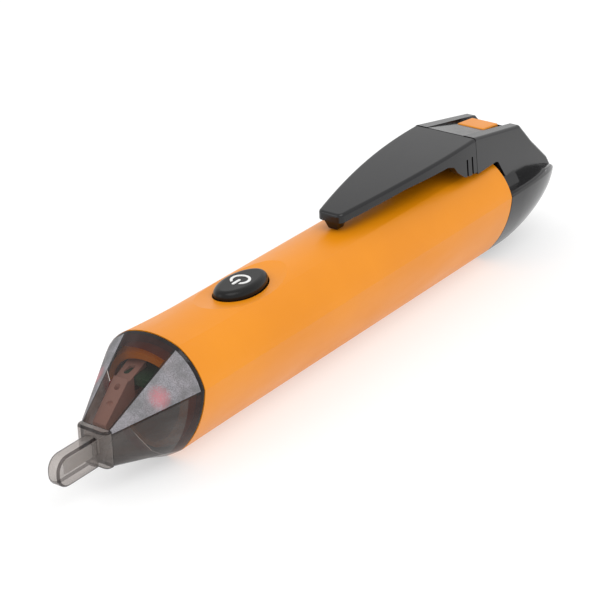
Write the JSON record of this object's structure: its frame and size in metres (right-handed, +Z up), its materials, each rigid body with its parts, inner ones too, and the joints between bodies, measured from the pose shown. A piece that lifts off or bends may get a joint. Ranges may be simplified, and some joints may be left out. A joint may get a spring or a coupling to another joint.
{
  "type": "non contact voltage tester",
  "caption": "Pen-shaped non-contact voltage tester: flat sensing tip, smoky lens with alert lamps, rubber power button, and a pull-off battery cap with a pocket clip.",
  "frame": {"origin": "middle of the length and width, at the flat the tester rests on", "axes": "+X towards the sensing tip, +Z up through the power button and the pocket clip, +Y to one side"},
  "size_m": [0.15, 0.0222, 0.0299],
  "materials": {
    "body_tube": "satin orange moulding",
    "nose_lens": "smoky translucent plastic, frosted on the two upper side facets",
    "lens_seal": "matt black",
    "board_carrier": "brown moulded plastic",
    "main_board": "green solder mask",
    "antenna_strip": "tinned brass",
    "alert_leds": "clear red lamps",
    "control_chip": "black moulded package",
    "board_components": "chip resistors and capacitors",
    "buzzer_case": "black moulding",
    "buzzer_disc": "bright disc",
    "switch_base": "black moulding with tinned legs",
    "front_contact": "nickel plated",
    "carrier_screws": "zinc plated",
    "cell_channel": "dark moulding",
    "return_strip": "nickel plated",
    "front_cell": "plain printed sleeve, bare steel ends",
    "rear_cell": "plain printed sleeve, bare steel ends",
    "power_button": "smooth black rubber",
    "button_symbol": "white ink",
    "switch_plunger": "dark grey",
    "release_catch": "satin orange moulding",
    "tail_cap": "black moulding, half gloss",
    "tail_seal": "matt black",
    "cap_contact": "nickel plated",
    "cap_spring": "nickel plated wire",
    "pocket_clip": "black moulding, half gloss"
  },
  "bodies": {
    "body": {"body_tube": "body_tube", "nose_lens": "nose_lens", "lens_seal": "lens_seal", "board_carrier": "board_carrier", "main_board": "main_board", "antenna_strip": "antenna_strip", "alert_leds": "alert_leds", "control_chip": "control_chip", "board_components": "board_components", "buzzer_case": "buzzer_case", "buzzer_disc": "buzzer_disc", "switch_base": "switch_base", "front_contact": "front_contact", "carrier_screws": "carrier_screws", "cell_channel": "cell_channel", "return_strip": "return_strip", "front_cell": "front_cell", "rear_cell": "rear_cell"},
    "button": {"power_button": "power_button", "button_symbol": "button_symbol"},
    "plunger": {"switch_plunger": "switch_plunger"},
    "catch": {"release_catch": "release_catch"},
    "cap": {"tail_cap": "tail_cap", "tail_seal": "tail_seal", "cap_contact": "cap_contact", "cap_spring": "cap_spring"},
    "clip": {"pocket_clip": "pocket_clip"}
  },
  "joints": [
    {"name": "button_press", "type": "slide", "parent": "body", "child": "button", "axis": [0, 0, -1], "range_m": [0, 0.0005], "stiffness_N_per_m": 900, "springref_m": -0.0003},
    {"name": "plunger_press", "type": "slide", "parent": "body", "child": "plunger", "axis": [0, 0, -1], "range_m": [0, 0.0005]},
    {"name": "catch_press", "type": "hinge", "parent": "cap", "child": "catch", "pos_m": [-0.0452, 0, 0.0245], "axis": [0, -1, 0], "range_deg": [0, 5], "stiffness_Nm_per_rad": 0.05, "springref_deg": -1.15},
    {"name": "cap_slide", "type": "slide", "parent": "body", "child": "cap", "axis": [-1, 0, 0], "range_m": [0, 0.02]},
    {"name": "clip_flex", "type": "hinge", "parent": "cap", "child": "clip", "pos_m": [-0.0428, 0, 0.0292], "axis": [0, -1, 0], "range_deg": [0, 6], "stiffness_Nm_per_rad": 1.5, "springref_deg": -0.57}
  ],
  "couplings": [
    {"joint": "plunger_press", "follows": "button_press", "ratio": 1}
  ]
}
